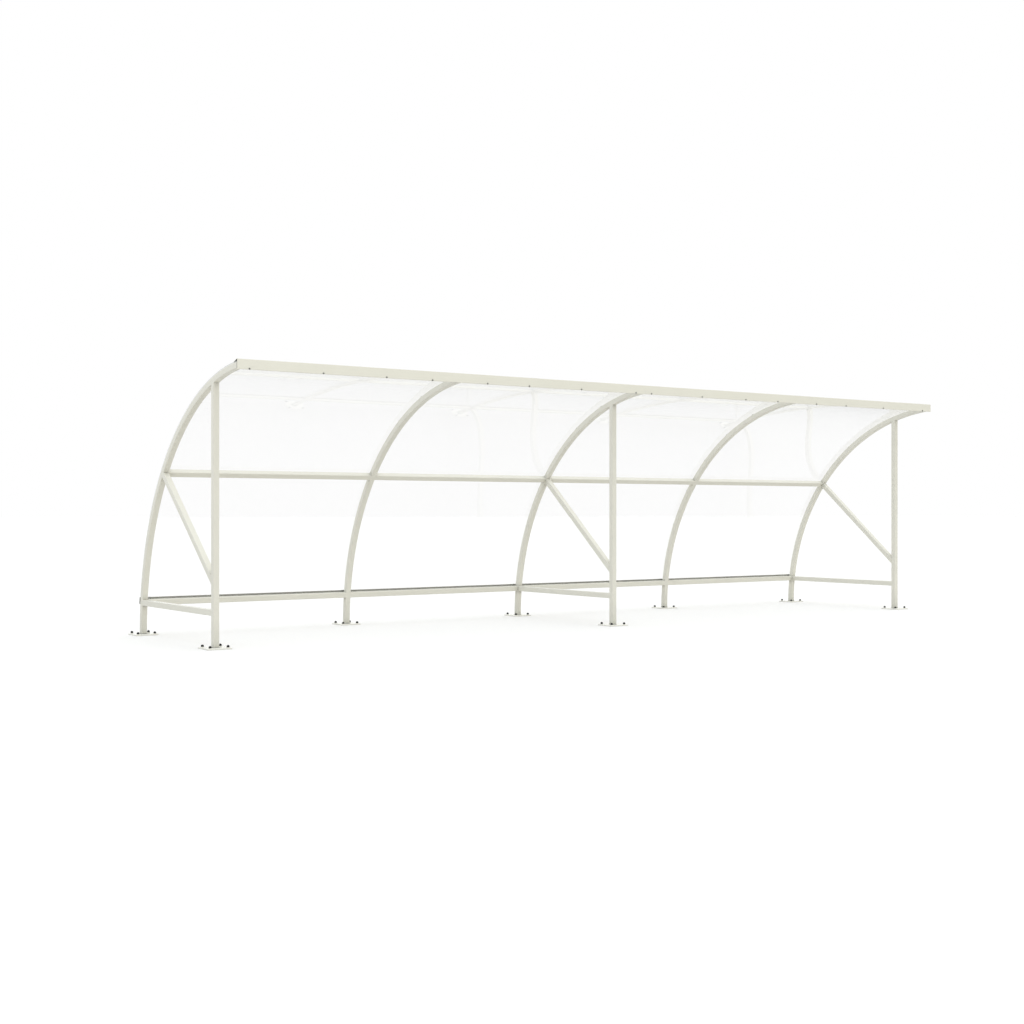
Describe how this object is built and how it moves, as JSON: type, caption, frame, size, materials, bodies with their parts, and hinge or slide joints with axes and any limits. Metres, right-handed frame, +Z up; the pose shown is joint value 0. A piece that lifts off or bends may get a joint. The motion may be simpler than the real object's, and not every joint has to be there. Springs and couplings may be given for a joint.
{
  "type": "bike shelter",
  "caption": "Open bike shelter with curved steel tube ribs, front posts and braces, clear bent roof sheets, a folded fascia and bolted base plates.",
  "frame": {"origin": "on the ground under the middle of the part's box", "axes": "+X along the shelter to the right, -Y towards the open front, +Z up"},
  "size_m": [8.2, 2.128, 2.233],
  "materials": {
    "powder_coated_steel": "satin powder coat, grey white",
    "clear_polycarbonate": "clear, glossy",
    "black_anchor_steel": "blackened zinc",
    "grey_screw_steel": "zinc plated"
  },
  "bodies": {
    "root": {"rib_1": "powder_coated_steel", "rib_2": "powder_coated_steel", "rib_3": "powder_coated_steel", "rib_4": "powder_coated_steel", "rib_5": "powder_coated_steel", "rib_base_plate_1": "powder_coated_steel", "rib_base_plate_2": "powder_coated_steel", "rib_base_plate_3": "powder_coated_steel", "rib_base_plate_4": "powder_coated_steel", "rib_base_plate_5": "powder_coated_steel", "front_post_1": "powder_coated_steel", "front_post_2": "powder_coated_steel", "front_post_3": "powder_coated_steel", "post_base_plate_1": "powder_coated_steel", "post_base_plate_2": "powder_coated_steel", "post_base_plate_3": "powder_coated_steel", "brace_1": "powder_coated_steel", "brace_2": "powder_coated_steel", "brace_3": "powder_coated_steel", "side_rail_1": "powder_coated_steel", "side_rail_2": "powder_coated_steel", "side_rail_3": "powder_coated_steel", "mid_rail_1": "powder_coated_steel", "mid_rail_2": "powder_coated_steel", "mid_rail_3": "powder_coated_steel", "mid_rail_4": "powder_coated_steel", "low_rail_1": "powder_coated_steel", "low_rail_2": "powder_coated_steel", "low_rail_3": "powder_coated_steel", "low_rail_4": "powder_coated_steel", "fascia_1": "powder_coated_steel", "fascia_2": "powder_coated_steel", "sill_channel_1": "powder_coated_steel", "sill_channel_2": "powder_coated_steel", "roof_sheet_1": "clear_polycarbonate", "roof_sheet_2": "clear_polycarbonate", "roof_sheet_3": "clear_polycarbonate", "roof_sheet_4": "clear_polycarbonate"}
  },
  "joints": []
}
